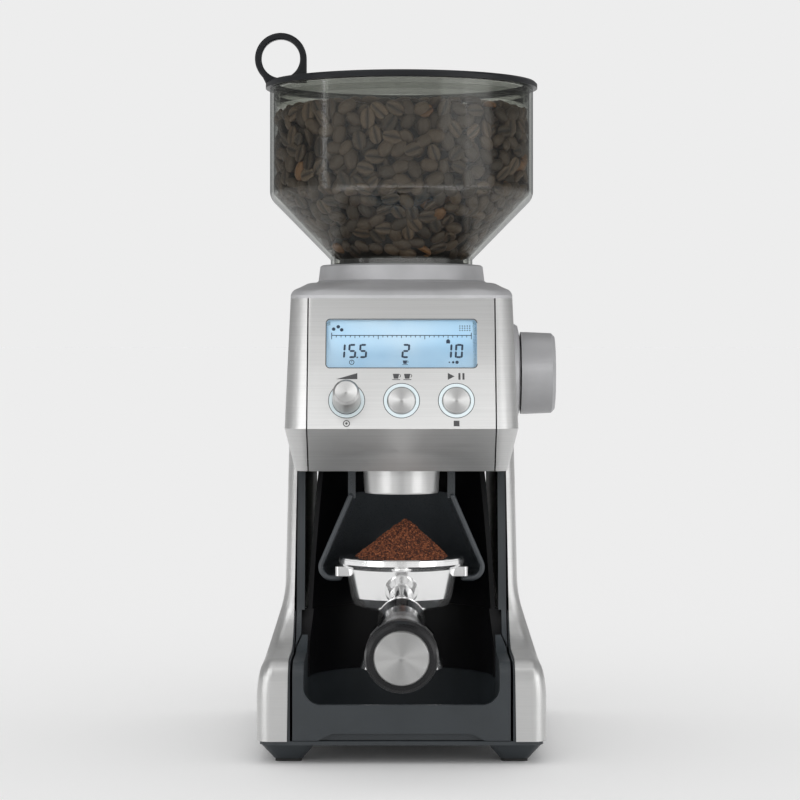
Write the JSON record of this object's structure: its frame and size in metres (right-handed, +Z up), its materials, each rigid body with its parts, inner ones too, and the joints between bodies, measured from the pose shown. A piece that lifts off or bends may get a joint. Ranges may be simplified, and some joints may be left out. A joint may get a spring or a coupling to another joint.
{
  "type": "burr coffee grinder",
  "caption": "Countertop burr coffee grinder with a clear bean hopper, tilted control panel, side dial, open bay, docked portafilter and pull-out grinds tray.",
  "frame": {"origin": "on the counter, under the centre of the whole object's plan with the portafilter docked", "axes": "+Z up, -Y towards the front with the control panel, +X towards the side with the dial"},
  "size_m": [0.1647, 0.2907, 0.3848],
  "materials": {
    "brushed_steel": "brushed",
    "spun_steel": "spun",
    "satin_grey": "satin",
    "slate_plastic": "satin",
    "black_plastic": "matte",
    "rear_plastic": "fine grain",
    "lid_plastic": "satin",
    "smoke_clear": "clear smoke",
    "rubber_black": "matte",
    "display_clear": "clear",
    "display_blue": "lit",
    "halo_white": "lit",
    "board_green": "satin",
    "switch_black": "matte",
    "tool_steel": "ground",
    "gear_nylon": "satin",
    "cast_alloy": "cast",
    "chrome": "polished",
    "handle_black": "satin"
  },
  "bodies": {
    "housing": {"base_frame": "slate_plastic", "rubber_feet": "rubber_black", "left_side_panel": "brushed_steel", "right_side_panel": "brushed_steel", "control_fascia": "brushed_steel", "rear_cover": "rear_plastic", "case_screws": "tool_steel", "top_cap": "satin_grey", "bay_liner": "black_plastic", "bay_trims": "slate_plastic", "display_lens": "display_clear", "display_module": "display_blue", "control_board": "board_green", "panel_switches": "switch_black", "button_halos": "halo_white", "outlet_collar": "brushed_steel", "outlet_chute": "black_plastic", "burr_chamber": "black_plastic", "chamber_seal": "rubber_black", "gearbox_case": "cast_alloy", "gearbox_lid": "cast_alloy", "drive_screws": "tool_steel", "shaft_bearings": "tool_steel", "motor_can": "tool_steel", "motor_bracket": "black_plastic", "power_board": "board_green", "cord_gland": "rear_plastic", "dial_escutcheon": "satin_grey", "trigger_switch": "black_plastic"},
    "hopper": {"bean_hopper": "smoke_clear", "hopper_base": "black_plastic"},
    "lid": {"hopper_lid": "lid_plastic", "lid_seal": "rubber_black"},
    "hopper_lock": {"hopper_gate": "black_plastic"},
    "size_dial": {"grind_size_dial": "satin_grey", "dial_shaft": "tool_steel"},
    "adjuster": {"adjusting_ring": "black_plastic"},
    "upper_burr_set": {"upper_burr_carrier": "black_plastic", "upper_burr": "tool_steel"},
    "motor_armature": {"motor_rotor": "tool_steel", "motor_pinion": "tool_steel"},
    "lay_cluster": {"lay_gear": "gear_nylon"},
    "burr_spindle": {"main_shaft": "tool_steel", "lower_burr": "tool_steel", "burr_nut": "tool_steel", "impeller": "black_plastic", "main_gear": "gear_nylon"},
    "amount_stem": {"encoder_stem": "tool_steel"},
    "amount_knob": {"grind_amount_knob": "spun_steel"},
    "shots_key": {"shots_button": "spun_steel"},
    "start_key": {"start_button": "spun_steel"},
    "tray": {"grinds_tray": "slate_plastic"},
    "cradle": {"portafilter_cradle": "black_plastic"},
    "portafilter": {"portafilter_bowl": "chrome", "filter_basket": "chrome", "portafilter_spout": "chrome", "neck_ferrule": "chrome", "portafilter_handle": "handle_black", "handle_end_cap": "brushed_steel"},
    "trigger": {"trigger_button": "black_plastic"}
  },
  "joints": [
    {"name": "hopper_lift", "type": "slide", "parent": "housing", "child": "hopper", "axis": [0, 0, 1], "range_m": [0, 0.13]},
    {"name": "lid_lift", "type": "slide", "parent": "hopper", "child": "lid", "axis": [0, 0, 1], "range_m": [0, 0.06]},
    {"name": "gate_turn", "type": "hinge", "parent": "hopper", "child": "hopper_lock", "pos_m": [-0.00185, 0.0405, 0.252], "axis": [0, 0, 1], "range_deg": [0, 45]},
    {"name": "size_dial_turn", "type": "hinge", "parent": "housing", "child": "size_dial", "pos_m": [0.06815, 0.0405, 0.198], "axis": [1, 0, 0], "range_deg": [-55, 240]},
    {"name": "adjuster_turn", "type": "hinge", "parent": "housing", "child": "adjuster", "pos_m": [-0.00185, 0.0405, 0.21], "axis": [0, 0, 1], "range_deg": [-48, 12]},
    {"name": "upper_burr_rise", "type": "slide", "parent": "housing", "child": "upper_burr_set", "axis": [0, 0, 1], "range_m": [-0.00045, 0.00197]},
    {"name": "motor_spin", "type": "hinge", "parent": "housing", "child": "motor_armature", "pos_m": [-0.00185, 0.0899, 0.11], "axis": [0, 0, 1], "continuous": true},
    {"name": "lay_spin", "type": "hinge", "parent": "housing", "child": "lay_cluster", "pos_m": [-0.00185, 0.0675, 0.165], "axis": [0, 0, 1], "continuous": true},
    {"name": "burr_spin", "type": "hinge", "parent": "housing", "child": "burr_spindle", "pos_m": [-0.00185, 0.0405, 0.19], "axis": [0, 0, 1], "continuous": true},
    {"name": "amount_push", "type": "slide", "parent": "housing", "child": "amount_stem", "axis": [0, 0.9483, -0.3173], "range_m": [0, 0.0008], "stiffness_N_per_m": 400},
    {"name": "amount_turn", "type": "hinge", "parent": "amount_stem", "child": "amount_knob", "pos_m": [-0.03035, -0.04726, 0.18695], "axis": [0, -0.9483, 0.3173], "continuous": true},
    {"name": "shots_push", "type": "slide", "parent": "housing", "child": "shots_key", "axis": [0, 0.9483, -0.3173], "range_m": [0, 0.0008], "stiffness_N_per_m": 400},
    {"name": "start_push", "type": "slide", "parent": "housing", "child": "start_key", "axis": [0, 0.9483, -0.3173], "range_m": [0, 0.0008], "stiffness_N_per_m": 400},
    {"name": "tray_slide", "type": "slide", "parent": "housing", "child": "tray", "axis": [0, -1, 0], "range_m": [0, 0.12]},
    {"name": "cradle_slide", "type": "slide", "parent": "housing", "child": "cradle", "axis": [0, -1, 0], "range_m": [0, 0.09]},
    {"name": "portafilter_slide", "type": "slide", "parent": "cradle", "child": "portafilter", "axis": [0, -1, 0], "range_m": [0, 0.13]},
    {"name": "trigger_push", "type": "slide", "parent": "housing", "child": "trigger", "axis": [0, 1, 0], "range_m": [0, 0.003], "stiffness_N_per_m": 300}
  ],
  "couplings": [
    {"joint": "adjuster_turn", "follows": "upper_burr_rise", "rad_per_m": -409.17},
    {"joint": "size_dial_turn", "follows": "upper_burr_rise", "rad_per_m": 2127.7},
    {"joint": "lay_spin", "follows": "motor_spin", "ratio": -0.27273},
    {"joint": "burr_spin", "follows": "motor_spin", "ratio": 0.083004}
  ]
}
